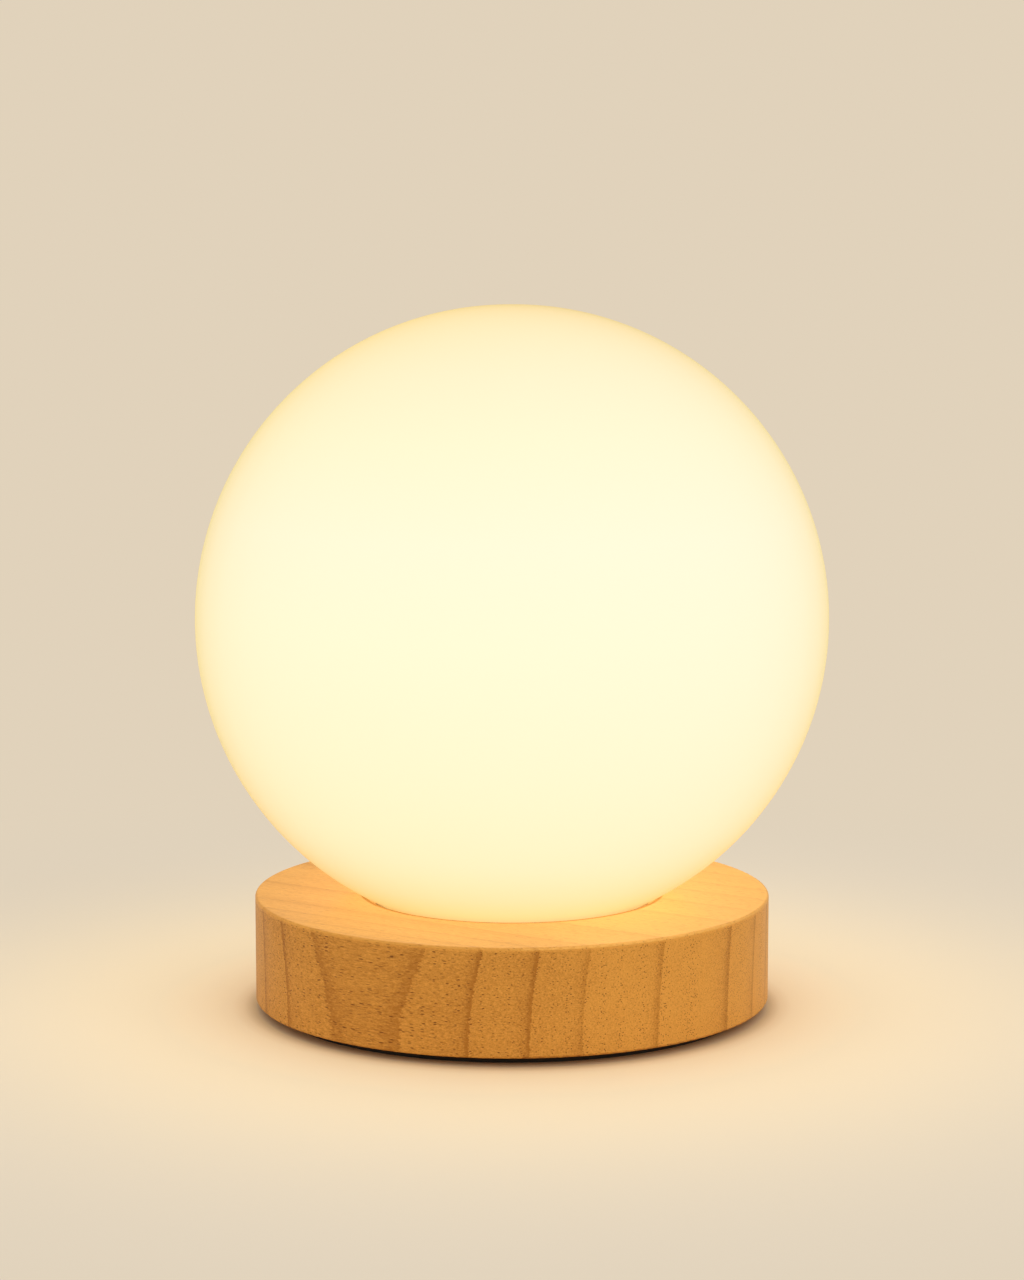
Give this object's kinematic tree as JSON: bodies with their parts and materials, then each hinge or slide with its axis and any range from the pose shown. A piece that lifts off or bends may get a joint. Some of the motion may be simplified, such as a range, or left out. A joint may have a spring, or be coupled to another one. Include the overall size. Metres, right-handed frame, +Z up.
{
  "type": "globe bedside lamp",
  "caption": "Small bedside lamp: an opal glass globe resting in a seat turned in a low round wood base, lit from inside by a pin-base bulb on a hidden holder.",
  "frame": {"origin": "middle of the floor contact, under the centre of the base", "axes": "+Z up along the axis of the lamp, +Y towards the back where the cord enters"},
  "size_m": [0.15, 0.15, 0.1675],
  "materials": {
    "wood_base": "satin clear lacquer over light open-pored hardwood",
    "globe_shade": "opal white, glossy outside",
    "foot_ring": "matt black",
    "shade_gasket": "matt translucent white silicone",
    "shade_dish": "gloss white lacquer",
    "shade_springs": "bright spring steel",
    "spring_rivets": "zinc plated",
    "stem_tube": "zinc plated, threaded",
    "stem_nuts": "zinc plated",
    "lock_washer": "zinc plated",
    "flat_washer": "zinc plated",
    "holder_bracket": "zinc plated sheet",
    "holder_screws": "zinc plated",
    "holder_nuts": "zinc plated",
    "lampholder": "unglazed white",
    "lamp_contacts": "bright",
    "bulb_base": "white",
    "bulb_pins": "bright wire",
    "bulb_board": "white board with yellow light chips",
    "bulb_envelope": "frosted translucent white",
    "lead_live": "brown sleeve",
    "lead_neutral": "blue sleeve",
    "terminal_block": "natural nylon",
    "terminal_tubes": "bright",
    "terminal_screws": "zinc plated",
    "block_screw": "zinc plated",
    "cord_grommet": "matt black",
    "bottom_cover": "black powder coat",
    "cover_screws": "zinc plated"
  },
  "bodies": {
    "lamp_base": {"wood_base": "wood_base", "foot_ring": "foot_ring", "shade_gasket": "shade_gasket", "shade_dish": "shade_dish", "shade_springs": "shade_springs", "spring_rivets": "spring_rivets", "stem_tube": "stem_tube", "stem_nuts": "stem_nuts", "lock_washer": "lock_washer", "flat_washer": "flat_washer", "holder_bracket": "holder_bracket", "holder_screws": "holder_screws", "holder_nuts": "holder_nuts", "lampholder": "lampholder", "lamp_contacts": "lamp_contacts", "lead_live": "lead_live", "lead_neutral": "lead_neutral", "terminal_block": "terminal_block", "terminal_tubes": "terminal_tubes", "terminal_screws": "terminal_screws", "block_screw": "block_screw", "cord_grommet": "cord_grommet", "bottom_cover": "bottom_cover", "cover_screws": "cover_screws"},
    "globe": {"globe_shade": "globe_shade"},
    "bulb": {"bulb_base": "bulb_base", "bulb_pins": "bulb_pins", "bulb_board": "bulb_board", "bulb_envelope": "bulb_envelope"}
  },
  "joints": [
    {"name": "globe_lift", "type": "slide", "parent": "lamp_base", "child": "globe", "axis": [0, 0, 1], "range_m": [0, 0.1], "deforming": ["shade_springs"]},
    {"name": "bulb_pull", "type": "slide", "parent": "lamp_base", "child": "bulb", "axis": [0, 0, 1], "range_m": [0, 0.025]}
  ]
}
